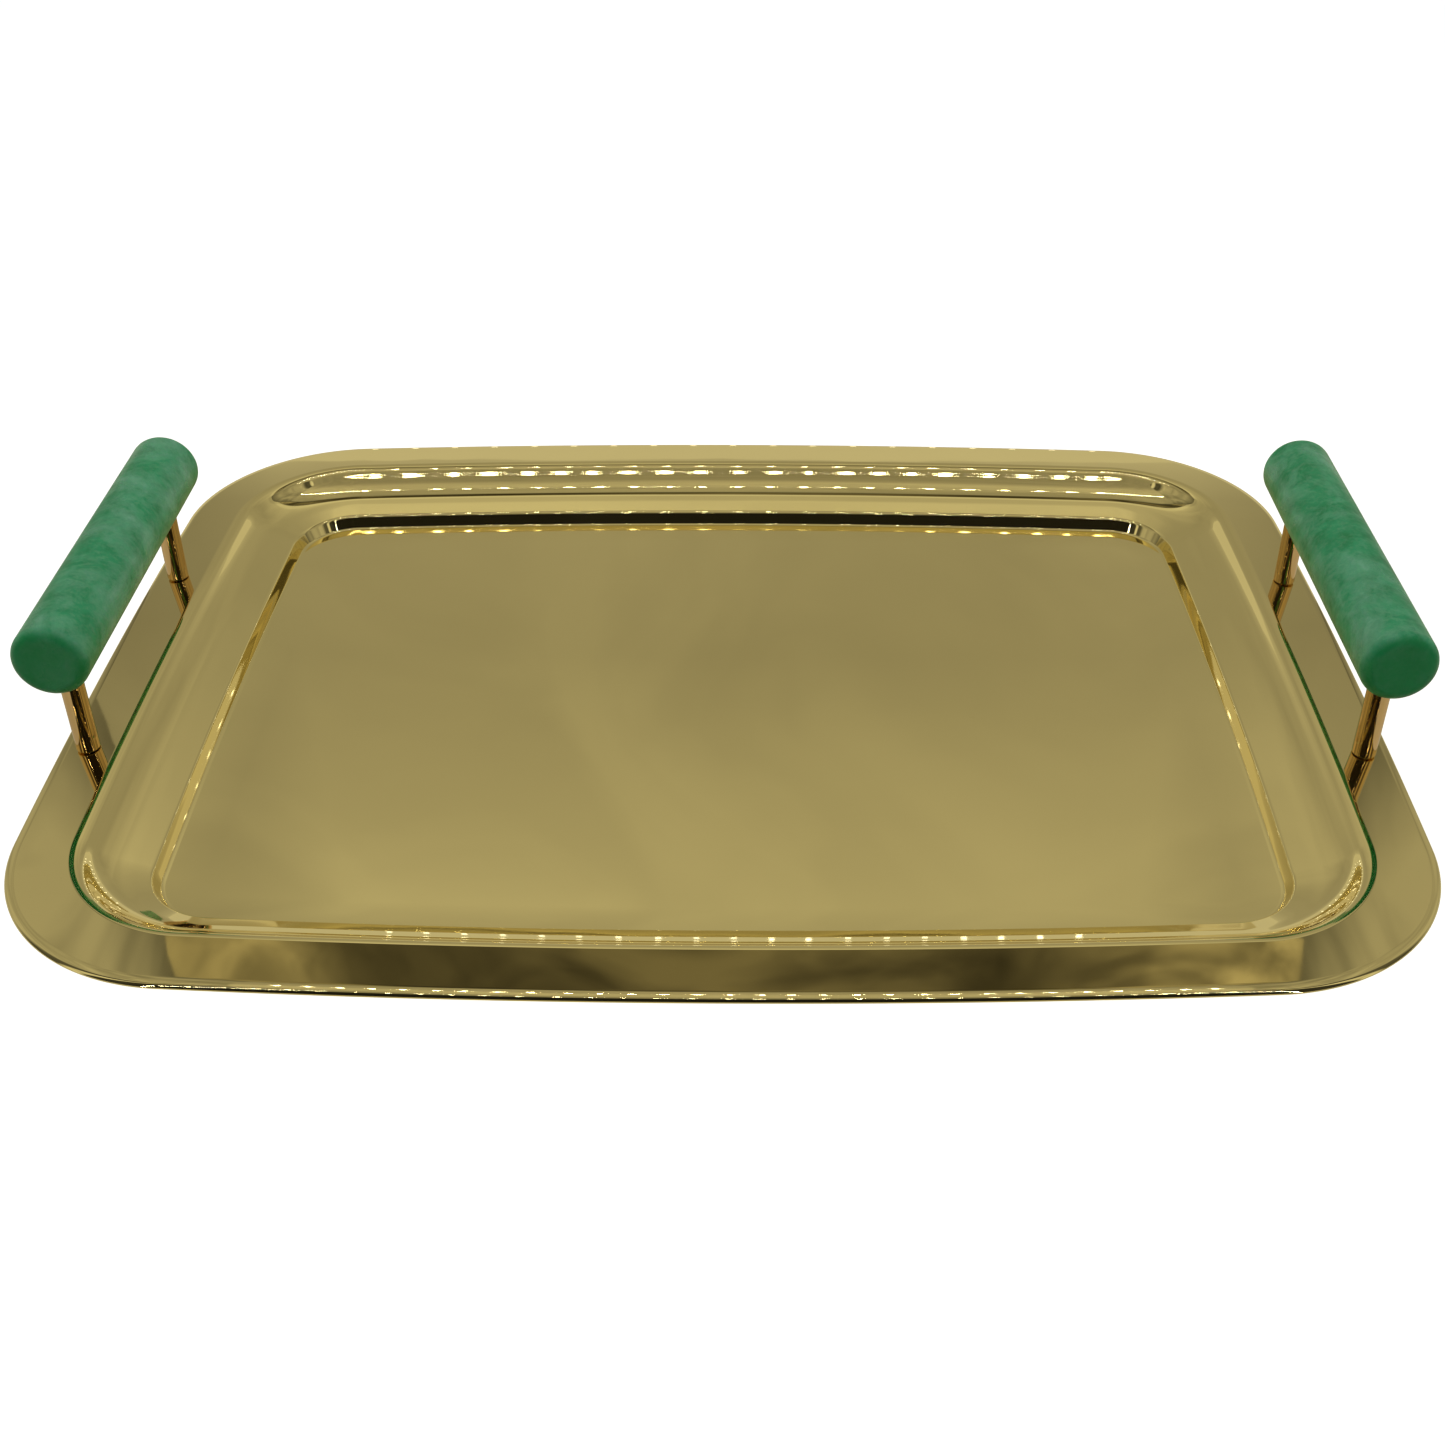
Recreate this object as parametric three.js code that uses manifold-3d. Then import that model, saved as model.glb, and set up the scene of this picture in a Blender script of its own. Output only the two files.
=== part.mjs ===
// Serving tray: a pressed brass pan with a turned-down edge, and a stone bar handle on two brass posts at
// each short side. Each post is a tube clamped between the rim and the bar by a screw from below.
// Millimetres, +Z up, X along the tray. The origin is on the table under the middle of the floor.
import * as THREE from "three";
import { mergeVertices } from "three/addons/utils/BufferGeometryUtils.js";
import Module from "manifold-3d";

// Outline of the pan, seen from above: four bowed sides joined by round corners.
const HALF_LENGTH = 228.6;
const HALF_WIDTH = 176.5;
const CORNER_RADIUS = 67.5;
const LONG_SIDE_BOW = 9.3; // how far a long side bulges, over the whole length
const SHORT_SIDE_BOW = 4.6; // the same for a short side, over the whole width
const LONG_SIDE_STEPS = 3; // steps in half a long side
const CORNER_STEPS = 10;
const SHORT_SIDE_STEPS = 3;

// Cross-section of the sheet, walked outwards from the edge of the floor along the middle of its thickness.
// A bend turns the walk to a new slope, in degrees above level. A run goes straight on.
const SHEET = 1.2;
const SECTION = [
  { bend: 190, slope: 3.9, steps: 1 }, // last of the floor, dished a little
  { bend: 4, slope: 20, steps: 2 }, // cove at the foot of the step
  { bend: 1.5, slope: 65, steps: 3 },
  { run: 3.9 }, // step
  { bend: 1.5, slope: 20.8, steps: 3 }, // top of the step
  { run: 4.6 }, // ledge
  { bend: 60, slope: 19, steps: 1 },
  { run: 1.6 },
  { bend: 20, slope: 51, steps: 5 }, // hollow lower wall
  { bend: 70, slope: 51.8, steps: 1 }, // upper wall, nearly straight
  { bend: 70, slope: 50.8, steps: 1 },
  { bend: 4.8, slope: -3.4, steps: 5 }, // crease at the rim
  { run: 16 }, // rim
  { bend: 8, slope: -20, steps: 2 }, // edge, falling away
  { bend: 1.3, slope: -62, steps: 3 }, // and turned down
];

// Handles.
const HANDLE_X = 218;
const POST_Y = 57;
const BAR_RADIUS = 12.7;
const BAR_LENGTH = 141.6;
const BAR_EDGE_RADIUS = 4;
const BAR_EDGE_STEPS = 4;
const BAR_CLEARANCE = 30; // from the rim up to the underside of the bar
const POST_RADIUS = 4;
const SOCKET_DEPTH = 2; // how far a post enters the bar
const GAP = 0.3; // between pieces that touch

// Fasteners: M4, from below.
const SCREW_RADIUS = 2;
const SCREW_HEAD_RADIUS = 4;
const SCREW_HEAD_HEIGHT = 2.6;
const SCREW_HEAD_ROUND = 1;
const HEX_KEY_RADIUS = 1.4;
const HEX_KEY_DEPTH = 1.6;
const WASHER_RADIUS = 5;
const WASHER_THICKNESS = 1;
const INSERT_RADIUS = 3;
const INSERT_LENGTH = 10;
const SCREW_ENGAGEMENT = 8; // length of screw inside the insert
const DRILL_LENGTH = 10; // through the rim, half above it
const ROUND_SIDES = 24;
const BAR_SIDES = 36;

const brass = new THREE.MeshStandardMaterial({ color: 0xb59a52, metalness: 1, roughness: 0.08 });
const screwBrass = new THREE.MeshStandardMaterial({ color: 0xa88b45, metalness: 1, roughness: 0.3 });
const stone = new THREE.MeshStandardMaterial({ color: 0x2f8054, metalness: 0, roughness: 0.22 });

const wasm = await Module();
wasm.setup();

function toSolid(geometry) {
  const bare = geometry.clone();
  bare.deleteAttribute("normal");
  bare.deleteAttribute("uv");
  const merged = mergeVertices(bare);
  return new wasm.Manifold(
    new wasm.Mesh({
      numProp: 3,
      vertProperties: merged.attributes.position.array,
      triVerts: new Uint32Array(merged.index.array),
    }),
  );
}

function toGeometry(solid) {
  const mesh = solid.getMesh();
  const geometry = new THREE.BufferGeometry();
  geometry.setAttribute("position", new THREE.BufferAttribute(new Float32Array(mesh.vertProperties), 3));
  geometry.setIndex(new THREE.BufferAttribute(new Uint32Array(mesh.triVerts), 1));
  geometry.computeVertexNormals();
  return geometry;
}

// A lathed piece standing on z = 0. The profile is a list of [radius, height] that closes on itself or on
// the axis, counter-clockwise.
function turned(profile, sides = ROUND_SIDES) {
  const points = profile.map(([radius, height]) => new THREE.Vector2(radius, height));
  return new THREE.LatheGeometry(points, sides).rotateX(Math.PI / 2);
}

function tube(outer, inner, height) {
  return turned([
    [inner, 0],
    [outer, 0],
    [outer, height],
    [inner, height],
    [inner, 0],
  ]);
}

function rod(radius, height, sides = ROUND_SIDES) {
  return new THREE.CylinderGeometry(radius, radius, height, sides)
    .rotateX(Math.PI / 2)
    .translate(0, 0, height / 2);
}

function arcPoints(centre, radius, from, to, steps) {
  return Array.from({ length: steps + 1 }, (_, i) => {
    const angle = from + ((to - from) * i) / steps;
    const normal = new THREE.Vector2(Math.cos(angle), Math.sin(angle));
    return { point: normal.clone().multiplyScalar(radius).add(centre), normal };
  });
}

// Radius of the arc that bulges by bow over a chord of twice half.
function bowRadius(half, bow) {
  return (half * half + bow * bow) / (2 * bow);
}

// The pan's outline as points with outward normals, clockwise from the middle of the back side.
function panOutline() {
  const longRadius = bowRadius(HALF_LENGTH, LONG_SIDE_BOW);
  const shortRadius = bowRadius(HALF_WIDTH, SHORT_SIDE_BOW);
  const longCentre = new THREE.Vector2(0, HALF_WIDTH - longRadius);
  const shortCentre = new THREE.Vector2(HALF_LENGTH - shortRadius, 0);

  // The corner's centre lies at these distances from the two side centres.
  const toLong = longRadius - CORNER_RADIUS;
  const toShort = shortRadius - CORNER_RADIUS;
  const across = shortCentre.clone().sub(longCentre);
  const span = across.length();
  across.normalize();
  const along = (toLong ** 2 - toShort ** 2 + span ** 2) / (2 * span);
  const off = Math.sqrt(toLong ** 2 - along ** 2);
  const cornerCentre = longCentre
    .clone()
    .addScaledVector(across, along)
    .addScaledVector(new THREE.Vector2(across.y, -across.x), off);

  const longEnd = cornerCentre.clone().sub(longCentre).angle();
  const shortEnd = cornerCentre.clone().sub(shortCentre).angle();
  const quarter = [
    ...arcPoints(longCentre, longRadius, Math.PI / 2, longEnd, LONG_SIDE_STEPS).slice(0, -1),
    ...arcPoints(cornerCentre, CORNER_RADIUS, longEnd, shortEnd, CORNER_STEPS).slice(0, -1),
    ...arcPoints(shortCentre, shortRadius, shortEnd, 0, SHORT_SIDE_STEPS),
  ];
  const flip = (vector, scale) => vector.clone().multiply(scale);
  const mirror = (list, scale) =>
    list
      .map(({ point, normal }) => ({ point: flip(point, scale), normal: flip(normal, scale) }))
      .reverse();
  const half = [...quarter, ...mirror(quarter, new THREE.Vector2(1, -1)).slice(1)];
  return [...half, ...mirror(half, new THREE.Vector2(-1, 1)).slice(1, -1)];
}

// The sheet's two faces as [inset from the outline, height above the table] pairs, from the floor outwards.
function panSection() {
  const walk = [{ out: 0, up: 0, slope: 0 }];
  for (const piece of SECTION) {
    const last = walk[walk.length - 1];
    if (piece.run) {
      const out = last.out + piece.run * Math.cos(last.slope);
      walk.push({ out, up: last.up + piece.run * Math.sin(last.slope), slope: last.slope });
      continue;
    }
    const end = THREE.MathUtils.degToRad(piece.slope);
    const radius = piece.bend * Math.sign(end - last.slope);
    for (let i = 1; i <= piece.steps; i++) {
      const slope = last.slope + ((end - last.slope) * i) / piece.steps;
      const out = last.out + radius * (Math.sin(slope) - Math.sin(last.slope));
      walk.push({ out, up: last.up - radius * (Math.cos(slope) - Math.cos(last.slope)), slope });
    }
  }
  const face = (side) =>
    walk.map(({ out, up, slope }) => [out - side * Math.sin(slope), up + side * Math.cos(slope)]);
  const top = face(SHEET / 2);
  const bottom = face(-SHEET / 2);
  const reach = Math.max(...top.map(([out]) => out));
  const place = ([out, up]) => [reach - out, up + SHEET / 2];
  return { top: top.map(place), bottom: bottom.map(place) };
}

// Height of one of the pan's faces at an inset from its outline, on the rim.
function heightAt(face, inset) {
  for (let i = 1; i < face.length; i++) {
    const [outer, high] = face[i];
    const [inner, low] = face[i - 1];
    if (outer <= inset && inset <= inner) return low + ((high - low) * (inner - inset)) / (inner - outer);
  }
  throw new Error("no such inset");
}

const section = panSection();
const RIM_INSET = HALF_LENGTH - HANDLE_X;
const RIM_TOP = heightAt(section.top, RIM_INSET + POST_RADIUS); // highest under a post
const RIM_UNDERSIDE = heightAt(section.bottom, RIM_INSET - WASHER_RADIUS); // lowest over a washer

// Sweeps the cross-section round the outline and closes it with the floor.
function sweptPan() {
  const loop = [...section.top, ...section.bottom.toReversed()];
  const outline = panOutline();
  const positions = [];
  for (const { point, normal } of outline) {
    for (const [inset, height] of loop) {
      positions.push(point.x - inset * normal.x, point.y - inset * normal.y, height);
    }
  }
  const topCentre = positions.length / 3;
  positions.push(0, 0, loop[0][1]);
  const bottomCentre = topCentre + 1;
  positions.push(0, 0, loop[loop.length - 1][1]);

  const index = [];
  outline.forEach((_, i) => {
    const here = i * loop.length;
    const next = ((i + 1) % outline.length) * loop.length;
    for (let j = 1; j < loop.length; j++) {
      index.push(here + j - 1, next + j, here + j, here + j - 1, next + j - 1, next + j);
    }
    index.push(topCentre, next, here);
    index.push(bottomCentre, here + loop.length - 1, next + loop.length - 1);
  });
  const geometry = new THREE.BufferGeometry();
  geometry.setAttribute("position", new THREE.BufferAttribute(new Float32Array(positions), 3));
  geometry.setIndex(index);
  return geometry;
}

function panGeometry() {
  let pan = toSolid(sweptPan());
  for (const x of [-HANDLE_X, HANDLE_X]) {
    for (const y of [-POST_Y, POST_Y]) {
      const drill = rod(SCREW_RADIUS + GAP, DRILL_LENGTH).translate(x, y, RIM_TOP - DRILL_LENGTH / 2);
      pan = pan.subtract(toSolid(drill));
    }
  }
  return toGeometry(pan);
}

// A bar lying along Y, its axis at z = 0, with two stepped blind holes from below.
function barGeometry() {
  const half = BAR_LENGTH / 2;
  const flat = BAR_RADIUS - BAR_EDGE_RADIUS;
  const edge = Array.from({ length: BAR_EDGE_STEPS + 1 }, (_, i) => {
    const angle = (Math.PI / 2) * (i / BAR_EDGE_STEPS);
    return [flat + BAR_EDGE_RADIUS * Math.sin(angle), half - BAR_EDGE_RADIUS * (1 - Math.cos(angle))];
  });
  const profile = [
    [0, -half],
    ...edge.map(([radius, height]) => [radius, -height]),
    ...edge.toReversed(),
    [0, half],
  ];
  const socketTop = SOCKET_DEPTH - BAR_RADIUS;
  let bar = toSolid(turned(profile, BAR_SIDES).rotateX(-Math.PI / 2));
  for (const y of [-POST_Y, POST_Y]) {
    const socket = rod(POST_RADIUS + GAP, BAR_RADIUS);
    const bore = rod(INSERT_RADIUS + GAP, INSERT_LENGTH + 2 * GAP);
    bar = bar.subtract(toSolid(socket.translate(0, y, socketTop - BAR_RADIUS)));
    bar = bar.subtract(toSolid(bore.translate(0, y, socketTop - GAP)));
  }
  return toGeometry(bar);
}

// A screw with its head down: z = 0 is the face of the head that bears on the washer.
function screwGeometry(length) {
  const round = SCREW_HEAD_ROUND;
  const blank = turned([
    [0, -SCREW_HEAD_HEIGHT],
    [SCREW_HEAD_RADIUS - round, -SCREW_HEAD_HEIGHT],
    [SCREW_HEAD_RADIUS, round - SCREW_HEAD_HEIGHT],
    [SCREW_HEAD_RADIUS, 0],
    [SCREW_RADIUS, 0],
    [SCREW_RADIUS, length],
    [0, length],
  ]);
  const key = rod(HEX_KEY_RADIUS, 2 * HEX_KEY_DEPTH, 6).translate(0, 0, -SCREW_HEAD_HEIGHT - HEX_KEY_DEPTH);
  return toGeometry(toSolid(blank).subtract(toSolid(key)));
}

function addPiece(parent, name, geometry, material, x, y, z) {
  const mesh = new THREE.Mesh(geometry, material.clone());
  mesh.name = name;
  mesh.position.set(x, y, z);
  parent.add(mesh);
}

// One handle, in its own group standing on the rim: bar, and post, insert, screw and washer at each end.
function buildHandle(side, sign) {
  const handle = new THREE.Group();
  handle.position.set(sign * HANDLE_X, 0, RIM_TOP);
  const barAxis = BAR_CLEARANCE + BAR_RADIUS;
  const socketTop = BAR_CLEARANCE + SOCKET_DEPTH;
  const underside = RIM_UNDERSIDE - RIM_TOP;
  const washerBottom = underside - GAP - WASHER_THICKNESS;
  const screwSeat = washerBottom - GAP;
  const bore = SCREW_RADIUS + GAP;

  addPiece(handle, `handle_bar_${side}`, barGeometry(), stone, 0, 0, barAxis);
  for (const [end, y] of [["front", -POST_Y], ["back", POST_Y]]) {
    const place = `${side}_${end}`;
    const post = tube(POST_RADIUS, bore, socketTop - 2 * GAP);
    const insert = tube(INSERT_RADIUS, bore, INSERT_LENGTH);
    const washer = tube(WASHER_RADIUS, bore, WASHER_THICKNESS);
    const screw = screwGeometry(socketTop + SCREW_ENGAGEMENT - screwSeat);
    addPiece(handle, `post_${place}`, post, brass, 0, y, GAP);
    addPiece(handle, `insert_${place}`, insert, screwBrass, 0, y, socketTop);
    addPiece(handle, `washer_${place}`, washer, screwBrass, 0, y, washerBottom);
    addPiece(handle, `screw_${place}`, screw, screwBrass, 0, y, screwSeat);
  }
  return handle;
}

const tray = new THREE.Group();
addPiece(tray, "tray_pan", panGeometry(), brass, 0, 0, 0);
tray.add(buildHandle("left", -1));
tray.add(buildHandle("right", 1));

export default tray;
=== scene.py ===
"""Serving tray: a pressed and polished brass pan, with a stone bar handle on two brass posts at each
short side.

Metres, +Z up, X along the tray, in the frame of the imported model.
"""

import math

import bpy
from mathutils import Matrix, Vector


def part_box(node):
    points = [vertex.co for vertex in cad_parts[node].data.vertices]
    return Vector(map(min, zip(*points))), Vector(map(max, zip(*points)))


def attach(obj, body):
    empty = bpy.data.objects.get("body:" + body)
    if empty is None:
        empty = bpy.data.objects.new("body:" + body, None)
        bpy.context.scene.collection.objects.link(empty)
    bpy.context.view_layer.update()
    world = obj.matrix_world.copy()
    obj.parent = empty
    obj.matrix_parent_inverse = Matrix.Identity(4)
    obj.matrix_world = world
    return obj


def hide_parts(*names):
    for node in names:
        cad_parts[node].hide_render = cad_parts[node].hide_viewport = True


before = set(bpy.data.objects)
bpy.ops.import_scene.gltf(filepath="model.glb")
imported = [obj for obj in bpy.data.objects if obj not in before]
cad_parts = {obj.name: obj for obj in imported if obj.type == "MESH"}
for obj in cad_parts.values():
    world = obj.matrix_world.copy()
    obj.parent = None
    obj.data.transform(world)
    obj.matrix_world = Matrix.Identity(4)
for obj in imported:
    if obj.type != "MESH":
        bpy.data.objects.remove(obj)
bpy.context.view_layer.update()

MM = 0.001


# ---------------------------------------------------------------- camera

# Where the camera stands, how it is turned, in radians, and its lens, in millimetres.
CAMERA_PLACE = (0.01197, -0.54365, 0.3783)
CAMERA_YAW = -0.010445
CAMERA_PITCH = 0.62007
CAMERA_ROLL = -0.0019446
SENSOR_WIDTH = 36
FOCAL_LENGTH = 44.06
LENS_SHIFT = -0.0151  # part of the sensor's width
NEAREST = 0.01
FARTHEST = 20


def make_camera():
    """The camera stands in front of the tray, a little to the right of its axis, and looks down at it."""
    level_part = math.cos(CAMERA_PITCH)
    forward = Vector((
        math.sin(CAMERA_YAW) * level_part,
        math.cos(CAMERA_YAW) * level_part,
        -math.sin(CAMERA_PITCH),
    ))
    level = Vector((math.cos(CAMERA_YAW), -math.sin(CAMERA_YAW), 0))
    upright = level.cross(forward)
    right = math.cos(CAMERA_ROLL) * level + math.sin(CAMERA_ROLL) * upright
    up = math.cos(CAMERA_ROLL) * upright - math.sin(CAMERA_ROLL) * level
    data = bpy.data.cameras.new("camera")
    data.sensor_width = SENSOR_WIDTH
    data.lens = FOCAL_LENGTH
    data.shift_x = LENS_SHIFT
    data.clip_start = NEAREST
    data.clip_end = FARTHEST
    camera = bpy.data.objects.new("camera", data)
    turn = Matrix((right, up, -forward)).transposed().to_4x4()
    camera.matrix_world = Matrix.Translation(CAMERA_PLACE) @ turn
    bpy.context.scene.collection.objects.link(camera)
    bpy.context.scene.camera = camera


make_camera()


# ---------------------------------------------------------------- node helpers

class Nodes:
    """A short way to write a node tree."""

    def __init__(self, material):
        material.use_nodes = True
        self.tree = material.node_tree
        self.tree.nodes.clear()

    def add(self, kind, inputs=(), **settings):
        node = self.tree.nodes.new(kind)
        for name, value in settings.items():
            setattr(node, name, value)
        for name, value in dict(inputs).items():
            socket = node.inputs[name]
            if isinstance(value, bpy.types.NodeSocket):
                self.tree.links.new(value, socket)
            else:
                socket.default_value = value
        return node

    def place(self):
        """Where a point of the object is, in metres."""
        return self.add("ShaderNodeTexCoord").outputs["Object"]

    def math(self, operation, *values):
        return self.add("ShaderNodeMath", dict(enumerate(values)), operation=operation).outputs[0]

    def noise(self, vector, scale, detail=3.0, rough=0.5, distortion=0.0):
        inputs = {
            "Vector": vector,
            "Scale": scale,
            "Detail": detail,
            "Roughness": rough,
            "Distortion": distortion,
        }
        return self.add("ShaderNodeTexNoise", inputs).outputs["Fac"]

    def ramp(self, factor, stops):
        """A colour ramp. Stops are (position, colour) with a colour of three numbers, or one for a grey."""
        node = self.add("ShaderNodeValToRGB", {"Fac": factor})
        elements = node.color_ramp.elements
        for _ in stops[2:]:
            elements.new(0.5)
        for element, (position, colour) in zip(elements, stops):
            element.position = position
            colour = (colour,) * 3 if isinstance(colour, (int, float)) else colour
            element.color = (*colour, 1)
        return node.outputs["Color"]

    def range(self, value, low, high, to_low=0.0, to_high=1.0):
        inputs = {
            "Value": value,
            "From Min": low,
            "From Max": high,
            "To Min": to_low,
            "To Max": to_high,
        }
        return self.add("ShaderNodeMapRange", inputs).outputs["Result"]

    def mix(self, factor, first, second, blend="MIX"):
        """A mix of two colours. Of the node's sockets, 0 is the factor and 6 and 7 are the colours."""
        node = self.add("ShaderNodeMix", data_type="RGBA", blend_type=blend)
        sockets = (node.inputs[0], node.inputs[6], node.inputs[7])
        for socket, value in zip(sockets, (factor, first, second)):
            if isinstance(value, bpy.types.NodeSocket):
                self.tree.links.new(value, socket)
            elif isinstance(value, (int, float)):
                socket.default_value = value
            else:
                socket.default_value = (*value, 1)
        return node.outputs[2]

    def bump(self, height, distance, normal=None):
        inputs = {"Height": height, "Distance": distance, "Strength": 1.0}
        if normal is not None:
            inputs["Normal"] = normal
        return self.add("ShaderNodeBump", inputs).outputs["Normal"]

    def finish(self, shader):
        self.add("ShaderNodeOutputMaterial", {"Surface": shader})


# ---------------------------------------------------------------- materials

def brass_material(name, colour, roughness, waviness):
    """Polished brass: slow waves left by the polishing, cloudy smears and a few specks."""
    material = bpy.data.materials.new(name)
    nodes = Nodes(material)
    place = nodes.place()
    cloud = nodes.noise(place, scale=14, detail=4, rough=0.55, distortion=0.6)
    smear = nodes.noise(place, scale=55, detail=5, rough=0.65, distortion=1.2)
    swell = nodes.noise(place, scale=8, detail=1.0, rough=0.4)
    wave = nodes.noise(place, scale=24, detail=1.5, rough=0.4)
    specks = nodes.add("ShaderNodeTexVoronoi", {"Vector": place, "Scale": 240}).outputs["Distance"]
    speck = nodes.range(specks, 0.0, 0.05, 1.0, 0.0)
    tint = nodes.mix(cloud, tuple(0.94 * c for c in colour), colour)
    tint = nodes.mix(nodes.math("MULTIPLY", speck, 0.5), tint, tuple(0.6 * c for c in colour))
    gloss = nodes.range(nodes.math("MULTIPLY", cloud, smear), 0.15, 0.42, 0.75 * roughness, 1.35 * roughness)
    gloss = nodes.math("ADD", gloss, nodes.math("MULTIPLY", speck, 0.15))
    shader = nodes.add(
        "ShaderNodeBsdfPrincipled",
        {
            "Base Color": tint,
            "Metallic": 1.0,
            "Roughness": gloss,
            "Normal": nodes.bump(wave, waviness, nodes.bump(swell, 2.5 * waviness)),
        },
    )
    nodes.finish(shader.outputs[0])
    return material


STONE_DEEP = (0.018, 0.400, 0.160)
STONE_MIDDLE = (0.050, 0.590, 0.290)
STONE_MILKY = (0.330, 0.860, 0.660)
STONE_GRAIN = (0.480, 0.860, 0.720)
# deep green painted on the bar's end faces: painted shade mixed with the stone's own body colour
STONE_END_BODY_AND_SHADE = (0.012, 0.420, 0.125)


def stone_material():
    """Cloudy green stone, waxed: milky veils over a darker body that lets a little light in. The end faces,
    picked out by the direction of the surface, are painted darker and deeper green. This is partly painted
    shade, because the front ends face the dim front of the tent, and partly the body showing across the
    veils."""
    material = bpy.data.materials.new("green_stone")
    nodes = Nodes(material)
    place = nodes.place()
    veil = nodes.noise(place, scale=60, detail=7, rough=0.66, distortion=0.5)
    body = nodes.noise(place, scale=110, detail=5, rough=0.6, distortion=0.4)
    grain = nodes.noise(place, scale=520, detail=3, rough=0.6)
    normal = nodes.add("ShaderNodeTexCoord").outputs["Normal"]
    along = nodes.add("ShaderNodeSeparateXYZ", {"Vector": normal}).outputs["Y"]
    # painted shade: faces that point along the bar, its ends, are darkened towards a deep green, together
    # with the body colour the stone shows across the veils
    end_body_and_shade_mask = nodes.range(nodes.math("ABSOLUTE", along), 0.35, 0.85)
    colour = nodes.ramp(body, [(0.30, STONE_DEEP), (0.62, STONE_MIDDLE)])
    colour = nodes.mix(nodes.range(veil, 0.44, 0.72, 0.0, 0.85), colour, STONE_MILKY)
    colour = nodes.mix(nodes.range(grain, 0.45, 0.75, 0.0, 0.18), colour, STONE_GRAIN)
    colour = nodes.mix(nodes.math("MULTIPLY", end_body_and_shade_mask, 0.80), colour, STONE_END_BODY_AND_SHADE)
    shader = nodes.add(
        "ShaderNodeBsdfPrincipled",
        {
            "Base Color": colour,
            "Roughness": nodes.range(veil, 0.3, 0.7, 0.34, 0.24),
            "IOR": 1.5,
            "Specular IOR Level": 0.3,
            "Subsurface Weight": 0.25,
            "Subsurface Radius": (0.2, 1.0, 0.4),
            "Subsurface Scale": 0.003,
            "Normal": nodes.bump(grain, 0.00003),
        },
    )
    nodes.finish(shader.outputs[0])
    return material


POLISHED = brass_material("polished_brass", (0.915, 0.780, 0.370), roughness=0.035, waviness=0.00012)
POST_BRASS = brass_material("post_brass", (0.740, 0.510, 0.245), roughness=0.05, waviness=0.00002)
SCREW_BRASS = brass_material("screw_brass", (0.800, 0.620, 0.260), roughness=0.22, waviness=0.00002)
STONE = stone_material()


# ---------------------------------------------------------------- meshes

def add_piece(name, points, normals, faces, material, slot, stands_for):
    """A smooth closed mesh with its own exact normals, riding on the only body."""
    mesh = bpy.data.meshes.new(name)
    mesh.from_pydata(points, [], faces)
    mesh.validate()
    mesh.shade_smooth()
    mesh.normals_split_custom_set_from_vertices(normals)
    mesh.materials.append(material)
    piece = bpy.data.objects.new(name, mesh)
    bpy.context.scene.collection.objects.link(piece)
    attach(piece, "root")
    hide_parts(stands_for)


def arc(centre, radius, start, end, steps):
    """Points of an arc with their outward normals."""
    samples = []
    for i in range(steps + 1):
        angle = start + (end - start) * i / steps
        normal = Vector((math.cos(angle), math.sin(angle)))
        samples.append((Vector(centre) + radius * normal, normal))
    return samples


# Outline of the pan, as in the CAD: four bowed sides joined by round corners.
HALF_LENGTH, HALF_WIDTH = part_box("tray_pan")[1].xy
CORNER_RADIUS = 67.5 * MM
LONG_SIDE_BOW = 9.3 * MM
SHORT_SIDE_BOW = 4.6 * MM
LONG_SIDE_STEPS = 14  # steps of half a side
SHORT_SIDE_STEPS = 10
CORNER_STEPS = 44

# Cross-section of the sheet, walked outwards from the edge of the floor along the middle of its
# thickness. A bend of so many millimetres turns the walk to a new slope in degrees; a run goes straight
# on.
SHEET = 1.2 * MM
SECTION = [
    ("bend", 190, 3.9),  # last of the floor, dished a little
    ("bend", 4.0, 20),  # cove at the foot of the step
    ("bend", 1.5, 65),
    ("run", 3.9),  # step
    ("bend", 1.5, 20.8),  # top of the step
    ("run", 4.6),  # ledge
    ("bend", 60, 19),
    ("run", 1.6),
    ("bend", 20.0, 51),  # hollow lower wall
    ("bend", 70, 51.8),  # upper wall, nearly straight
    ("bend", 70, 50.8),
    ("bend", 4.8, -3.4),  # crease at the rim
    ("run", 16.0),  # rim
    ("bend", 8.0, -20),  # edge, falling away
    ("bend", 1.3, -62),  # and turned down
]
BEND_STEP = math.radians(2.5)
CUT_EDGE_STEPS = 8


def bow_radius(half, bow):
    return (half * half + bow * bow) / (2 * bow)


def pan_outline():
    """Points and outward normals round the pan, counter-clockwise."""
    long_radius = bow_radius(HALF_LENGTH, LONG_SIDE_BOW)
    short_radius = bow_radius(HALF_WIDTH, SHORT_SIDE_BOW)
    long_centre = Vector((0, HALF_WIDTH - long_radius))
    short_centre = Vector((HALF_LENGTH - short_radius, 0))
    to_long = long_radius - CORNER_RADIUS
    to_short = short_radius - CORNER_RADIUS
    across = short_centre - long_centre
    span = across.length
    across.normalize()
    along = (to_long**2 - to_short**2 + span**2) / (2 * span)
    off = math.sqrt(to_long**2 - along**2)
    corner_centre = long_centre + along * across + off * Vector((across.y, -across.x))
    to_corner = corner_centre - long_centre
    long_end = math.atan2(to_corner.y, to_corner.x)
    to_corner = corner_centre - short_centre
    short_end = math.atan2(to_corner.y, to_corner.x)
    quarter = arc(short_centre, short_radius, 0, short_end, SHORT_SIDE_STEPS)[:-1]
    quarter += arc(corner_centre, CORNER_RADIUS, short_end, long_end, CORNER_STEPS)[:-1]
    quarter += arc(long_centre, long_radius, long_end, math.pi / 2, LONG_SIDE_STEPS)

    def mirrored(samples, x, y):
        return [(Vector((p.x * x, p.y * y)), Vector((n.x * x, n.y * y))) for p, n in reversed(samples)]

    half = quarter + mirrored(quarter, -1, 1)[1:]
    return half + mirrored(half, 1, -1)[1:-1]


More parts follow.
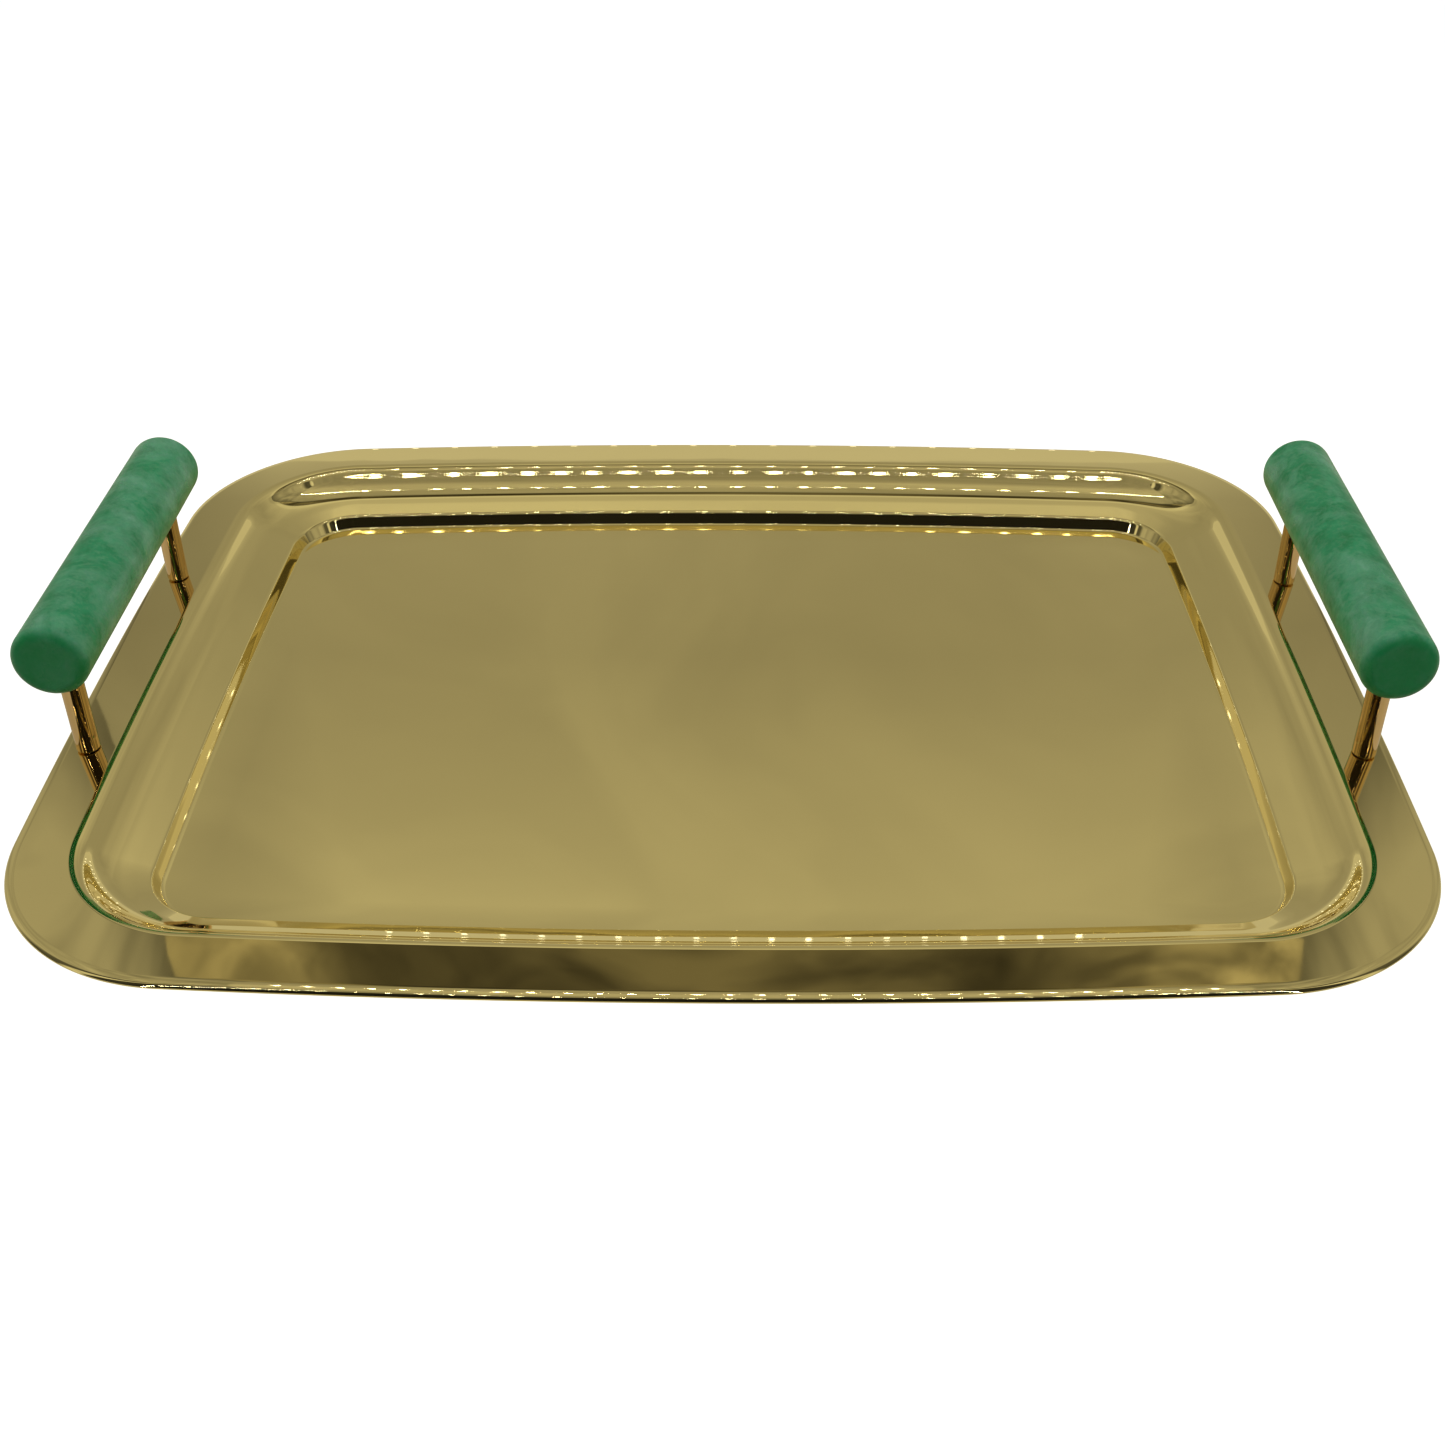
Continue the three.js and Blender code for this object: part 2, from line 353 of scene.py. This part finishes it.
def walk_section():
    """The middle of the sheet as (outward, up, slope), from the edge of the floor."""
    walk = [(0.0, 0.0, 0.0)]
    for kind, size, *turn in SECTION:
        out, up, slope = walk[-1]
        size = size * MM
        if kind == "run":
            walk.append((out + size * math.cos(slope), up + size * math.sin(slope), slope))
            continue
        end = math.radians(turn[0])
        radius = math.copysign(size, end - slope)
        steps = math.ceil(abs(end - slope) / BEND_STEP)
        for i in range(1, steps + 1):
            angle = slope + (end - slope) * i / steps
            walk.append((
                out + radius * (math.sin(angle) - math.sin(slope)),
                up - radius * (math.cos(angle) - math.cos(slope)),
                angle,
            ))
    return walk


def section_loop():
    """The sheet's outer surface in one walk, up the top face, round the cut edge and back along the
    underside, as (inset, height, outward part of the normal, upward part)."""
    walk = walk_section()
    half = SHEET / 2
    reach = max(out - half * math.sin(slope) for out, _, slope in walk)

    def surface(out, up, angle):
        normal = (math.cos(angle), math.sin(angle))
        return (reach - out - half * normal[0], up + half * normal[1] + half, *normal)

    right = math.pi / 2
    top = [surface(out, up, slope + right) for out, up, slope in walk]
    out, up, slope = walk[-1]
    turns = [math.pi * i / CUT_EDGE_STEPS for i in range(1, CUT_EDGE_STEPS)]
    edge = [surface(out, up, slope + right - turn) for turn in turns]
    bottom = [surface(out, up, slope - right) for out, up, slope in reversed(walk)]
    return top + edge + bottom


def make_pan():
    outline = pan_outline()
    loop = section_loop()
    count = len(loop)
    points, normals = [], []
    for point, outward in outline:
        for inset, height, out_part, up_part in loop:
            points.append((point.x - inset * outward.x, point.y - inset * outward.y, height))
            normals.append((out_part * outward.x, out_part * outward.y, up_part))
    faces = []
    for i in range(len(outline)):
        here, there = i * count, (i + 1) % len(outline) * count
        for j in range(count - 1):
            faces.append((here + j, here + j + 1, there + j + 1, there + j))
    starts = range(0, len(points), count)
    faces.append(tuple(starts))
    faces.append(tuple(start + count - 1 for start in reversed(starts)))
    add_piece("pan", points, normals, faces, POLISHED, "polished_brass", "tray_pan")


def lathe(profile, sides, axis_to_world):
    """A body turned about Z from (radius, height, outward part of the normal, upward part) and then placed.
    The profile starts and ends on the axis or closes on itself."""
    turn = axis_to_world.to_3x3()
    rings = [entry for entry in profile if entry[0] > 0]
    points, normals = [], []
    for i in range(sides):
        angle = 2 * math.pi * i / sides
        outward = Vector((math.cos(angle), math.sin(angle), 0))
        for radius, height, out_part, up_part in rings:
            points.append(axis_to_world @ (radius * outward + Vector((0, 0, height))))
            normals.append(turn @ (out_part * outward + Vector((0, 0, up_part))))
    count = len(rings)
    closed = len(rings) == len(profile)
    faces = []
    for i in range(sides):
        here, there = i * count, (i + 1) % sides * count
        for j in range(count if closed else count - 1):
            k = (j + 1) % count
            faces.append((here + j, there + j, there + k, here + k))
    if not closed:
        starts = range(0, sides * count, count)
        faces.append(tuple(reversed(starts)))
        faces.append(tuple(start + count - 1 for start in starts))
    return points, normals, faces


BAR_SIDES = 96
BAR_EDGE = 4 * MM
BAR_EDGE_STEPS = 8
POST_SIDES = 64
POST_BORE = 2.3 * MM  # radius of the hole through a post
POST_EDGE = 0.25 * MM
POST_EDGE_STEPS = 4


def quarter_turn(radius, height, size, start, steps):
    """A rounded edge of a turned body: a quarter circle about (radius, height), from an angle."""
    entries = []
    for i in range(steps + 1):
        angle = start + math.pi / 2 * i / steps
        out_part, up_part = math.cos(angle), math.sin(angle)
        entries.append((radius + size * out_part, height + size * up_part, out_part, up_part))
    return entries


def make_bar(side):
    node = f"handle_bar_{side}"
    low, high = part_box(node)
    centre = (low + high) / 2
    radius = (high.x - low.x) / 2
    half = (high.y - low.y) / 2
    flat = radius - BAR_EDGE
    profile = [(0, -half, 0, -1)]
    profile += quarter_turn(flat, BAR_EDGE - half, BAR_EDGE, -math.pi / 2, BAR_EDGE_STEPS)
    profile += quarter_turn(flat, half - BAR_EDGE, BAR_EDGE, 0, BAR_EDGE_STEPS)
    profile += [(0, half, 0, 1)]
    place = Matrix.Translation(centre) @ Matrix.Rotation(-math.pi / 2, 4, "X")
    shape = lathe(profile, BAR_SIDES, place)
    add_piece(f"bar_{side}", *shape, STONE, "green_stone", node)


def make_post(side, end):
    node = f"post_{side}_{end}"
    low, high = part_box(node)
    centre = (low + high) / 2
    outer = (high.y - low.y) / 2 - POST_EDGE
    inner = POST_BORE + POST_EDGE
    bottom = POST_EDGE
    top = high.z - low.z - POST_EDGE
    edges = [
        (outer, bottom, -math.pi / 2),
        (outer, top, 0),
        (inner, top, math.pi / 2),
        (inner, bottom, math.pi),
    ]
    profile = []
    for radius, height, start in edges:
        profile += quarter_turn(radius, height, POST_EDGE, start, POST_EDGE_STEPS)
    place = Matrix.Translation((centre.x, centre.y, low.z))
    shape = lathe(profile, POST_SIDES, place)
    add_piece(f"pillar_{side}_{end}", *shape, POST_BRASS, "polished_brass", node)


make_pan()
for side in ("left", "right"):
    make_bar(side)
    for end in ("front", "back"):
        make_post(side, end)
        for fastener in ("insert", "washer", "screw"):
            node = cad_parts[f"{fastener}_{side}_{end}"]
            node.data.materials.clear()
            node.data.materials.append(SCREW_BRASS)


# ---------------------------------------------------------------- studio

TENT_X = 0.40
TENT_FRONT = -0.42
TENT_BACK = 0.30
TENT_TOP = 0.80
OPENING_X = 0.31  # half the width of the dark opening in the front wall

WARM = (1.0, 0.935, 0.70)  # tint of the light in the tent
WHITE = (1.0, 1.0, 1.0)
DIM = (1.0, 0.86, 0.50)  # tint of what hangs in the dark

# Brightness of the walls, as (metres from the low end, brightness).
BACK_UP = [
    (0.00, 0.62), (0.05, 0.60), (0.08, 0.40), (0.10, 0.345), (0.18, 0.33), (0.24, 0.385), (0.32, 0.44),
    (0.385, 0.49), (0.425, 0.61), (0.50, 0.61), (0.51, 0.55), (0.53, 0.17), (0.80, 0.13),
]
BACK_ACROSS = [(0.00, 0.72), (0.09, 0.80), (0.15, 1.0), (0.65, 1.0), (0.71, 0.80), (0.80, 0.72)]
SIDE_ALONG = [
    (0.00, 0.04), (0.12, 0.04), (0.14, 0.65), (0.18, 0.65), (0.20, 0.08), (0.27, 0.08), (0.33, 0.42),
    (0.45, 0.33), (0.62, 0.31), (0.68, 0.22), (0.72, 0.12),
]
SHADE_FROM = 0.525  # height of the dark, streaky band of the back wall
SHADE_ACROSS = [
    (0.00, 0.30), (0.08, 0.27), (0.105, 0.20), (0.125, 0.08), (0.165, 0.05), (0.21, 0.06), (0.26, 0.09),
    (0.34, 0.12), (0.45, 0.12), (0.52, 0.09), (0.58, 0.055), (0.61, 0.07), (0.645, 0.16), (0.68, 0.20),
    (0.69, 0.30), (0.80, 0.34),
]
TOP_ALONG = [
    (0.00, 0.27), (0.17, 0.30), (0.32, 0.47), (0.42, 0.48), (0.52, 0.36), (0.69, 0.32), (0.705, 0.08),
    (0.72, 0.05),
]
FRONT_UP = [(0.00, 0.012), (0.46, 0.015), (0.60, 0.26), (0.80, 0.28)]
FRAME_UP = [(0.00, 0.03), (0.46, 0.03), (0.60, 0.26), (0.80, 0.28)]
TABLE_EDGE_UP = [(0.00, 0.56), (0.05, 0.56), (0.07, 0.58)]
TABLE_EDGE_TOP = 0.07
TABLE_GLOW = 0.5
TABLE_DROP = 0.4 * MM  # how far the table's glow lies under the tray
IN_FRONT = 0.005  # gap between a wall and a panel that hangs before it

LAMP_STRENGTH = 70
FAR_LAMP_STRENGTH = 3.5
ROW_ENDS = (-0.363, 0.368)  # ends of the long rows of lamps, along X
TOP_ROW_PLACE = (0.06, 0.79)  # y and z of the row under the ceiling
FRONT_ROW_PLACE = (-0.40, 0.66)  # and of the row before the front wall
ROW_COUNT = 30
ROW_LAMP = ((0.0035, 0, 0), (0, 0.009, 0))  # edges of one lamp
FAR_ROW_ENDS = (-0.187, 0.183)
FAR_ROW_Y = 0.29
FAR_ROW_HEIGHTS = (0.030, 0.041)
FAR_ROW_COUNT = 19
FAR_LAMP = ((0.003, 0, 0), (0, 0, 0.004))
FRAME_ROW_ENDS = (0.03, 0.64)  # ends of the upright rows beside the opening, along Z
FRAME_ROW_Y = -0.41
FRAME_ROW_COUNT = 24
FRAME_LAMP = ((0.005, 0, 0), (0, 0, 0.006))


def glow_material(name, along, axis, across=None, patches=0.0, scale=5.0, strength=1.0, tint=WARM):
    """Light that changes along one axis of a wall, optionally along another, and is blotched a little."""
    material = bpy.data.materials.new(name)
    nodes = Nodes(material)
    place = nodes.place()
    parts = nodes.add("ShaderNodeSeparateXYZ", {"Vector": place}).outputs

    def profile(stops, letter):
        length = stops[-1][0]
        share = nodes.range(parts[letter], 0, length)
        return nodes.ramp(share, [(metres / length, value) for metres, value in stops])

    colour = profile(along, axis)
    if across:
        colour = nodes.mix(1.0, colour, profile(across, "X"), "MULTIPLY")
    cloud = nodes.noise(place, scale, distortion=1.5)
    blotch = nodes.range(cloud, 0.35, 0.65, 1 - patches, 1 + patches)
    light = nodes.math("MULTIPLY", blotch, strength)
    colour = nodes.mix(1.0, colour, tint, "MULTIPLY")
    nodes.finish(nodes.add("ShaderNodeEmission", {"Color": colour, "Strength": light}).outputs[0])
    return material


def panel(name, corner, first, second, material):
    """A wall of the light tent from a corner and two edges. Only reflections and soft light see it."""
    mesh = bpy.data.meshes.new(name)
    first, second = Vector(first), Vector(second)
    mesh.from_pydata([Vector(), first, first + second, second], [], [(0, 1, 2, 3)])
    mesh.materials.append(material)
    made = bpy.data.objects.new(name, mesh)
    made.location = corner
    made.visible_camera = False
    bpy.context.scene.collection.objects.link(made)
    return made


def lamp_row(name, start, end, count, lamp, material):
    """A strip of small lamps, each a flat rectangle of two edges."""
    start, end = Vector(start), Vector(end)
    half_diagonal = (Vector(lamp[0]) + Vector(lamp[1])) / 2
    for i in range(count):
        middle = start.lerp(end, i / (count - 1))
        panel(f"{name}_{i}", middle - half_diagonal, *lamp, material)


def lamps_across(name, ends, place, count, lamp, material):
    """A strip of small lamps along X, at a place of (y, z)."""
    lamp_row(name, (ends[0], *place), (ends[1], *place), count, lamp, material)


def steady(brightness):
    """A light that is the same all along its wall."""
    return [(0.0, brightness), (TENT_TOP, brightness)]


def make_tent():
    width = (2 * TENT_X, 0, 0)
    depth = (0, TENT_BACK - TENT_FRONT, 0)
    height = (0, 0, TENT_TOP)
    left_front = (-TENT_X, TENT_FRONT, 0)
    before_back = TENT_BACK - IN_FRONT
    before_front = TENT_FRONT + IN_FRONT

    back = glow_material("back_light", BACK_UP, "Z", BACK_ACROSS, patches=0.06)
    side = glow_material("side_light", SIDE_ALONG, "Y", patches=0.25)
    top = glow_material("top_light", TOP_ALONG, "Y", patches=0.10)
    front = glow_material("front_light", FRONT_UP, "Z", patches=0.10)
    frame_light = glow_material("frame_light", FRAME_UP, "Z")
    shade = glow_material("shade", SHADE_ACROSS, "X", patches=0.45, scale=9, tint=DIM)
    table_edge = glow_material("table_edge", TABLE_EDGE_UP, "Z")
    table = glow_material("table_light", steady(TABLE_GLOW), "Z", patches=0.1)
    lamp = glow_material("lamp_light", steady(1.0), "Z", strength=LAMP_STRENGTH, tint=WHITE)
    far_lamp = glow_material("far_lamp_light", steady(1.0), "Z", strength=FAR_LAMP_STRENGTH, tint=WHITE)

    panel("back_wall", (-TENT_X, TENT_BACK, 0), width, height, back)
    panel("table_edge", (-TENT_X, before_back, 0), width, (0, 0, TABLE_EDGE_TOP), table_edge)
    panel("shade", (-TENT_X, before_back, SHADE_FROM), width, (0, 0, TENT_TOP - SHADE_FROM), shade)
    panel("left_wall", left_front, depth, height, side)
    panel("right_wall", (TENT_X, TENT_FRONT, 0), depth, height, side)
    panel("ceiling", (-TENT_X, TENT_FRONT, TENT_TOP), width, depth, top)
    panel("front_wall", left_front, width, height, front)
    panel("table", (-TENT_X, TENT_FRONT, -TABLE_DROP), width, depth, table).visible_diffuse = False
    frame_width = (TENT_X - OPENING_X, 0, 0)
    panel("left_frame", (-TENT_X, before_front, 0), frame_width, height, frame_light)
    panel("right_frame", (OPENING_X, before_front, 0), frame_width, height, frame_light)

    lamps_across("top_lamp", ROW_ENDS, TOP_ROW_PLACE, ROW_COUNT, ROW_LAMP, lamp)
    lamps_across("front_lamp", ROW_ENDS, FRONT_ROW_PLACE, ROW_COUNT, ROW_LAMP, lamp)
    for z in FAR_ROW_HEIGHTS:
        lamps_across(f"far_lamp_{z}", FAR_ROW_ENDS, (FAR_ROW_Y, z), FAR_ROW_COUNT, FAR_LAMP, far_lamp)
    for x in (-OPENING_X, OPENING_X):
        low, high = [(x, FRAME_ROW_Y, z) for z in FRAME_ROW_ENDS]
        lamp_row(f"frame_lamp_{x > 0}", low, high, FRAME_ROW_COUNT, FRAME_LAMP, lamp)


FLOOR_REACH = 6
FLOOR_DROP = 0.5 * MM
FLOOR_COLOUR = (0.8, 0.8, 0.8, 1)
FLOOR_GLOW = 1.0
WORLD_COLOUR = (0.9, 0.9, 0.9, 1)


def make_floor():
    """A pale floor that only the camera sees."""
    mesh = bpy.data.meshes.new("floor")
    corners = [
        (-FLOOR_REACH, -FLOOR_REACH, 0),
        (FLOOR_REACH, -FLOOR_REACH, 0),
        (FLOOR_REACH, FLOOR_REACH, 0),
        (-FLOOR_REACH, FLOOR_REACH, 0),
    ]
    mesh.from_pydata(corners, [], [(0, 1, 2, 3)])
    material = bpy.data.materials.new("floor")
    nodes = Nodes(material)
    diffuse = nodes.add("ShaderNodeBsdfDiffuse", {"Color": FLOOR_COLOUR}).outputs[0]
    glow = nodes.add("ShaderNodeEmission", {"Color": (*WHITE, 1), "Strength": FLOOR_GLOW}).outputs[0]
    nodes.finish(nodes.add("ShaderNodeAddShader", {0: diffuse, 1: glow}).outputs[0])
    mesh.materials.append(material)
    floor = bpy.data.objects.new("floor", mesh)
    floor.location.z = -FLOOR_DROP
    floor.visible_diffuse = False
    floor.visible_glossy = False
    bpy.context.scene.collection.objects.link(floor)


def make_world():
    world = bpy.data.worlds.new("world")
    bpy.context.scene.world = world
    world.use_nodes = True
    world.node_tree.nodes["Background"].inputs["Color"].default_value = WORLD_COLOUR
    world.cycles_visibility.diffuse = False
    bpy.context.scene.view_settings.view_transform = "Standard"


make_tent()
make_floor()
make_world()
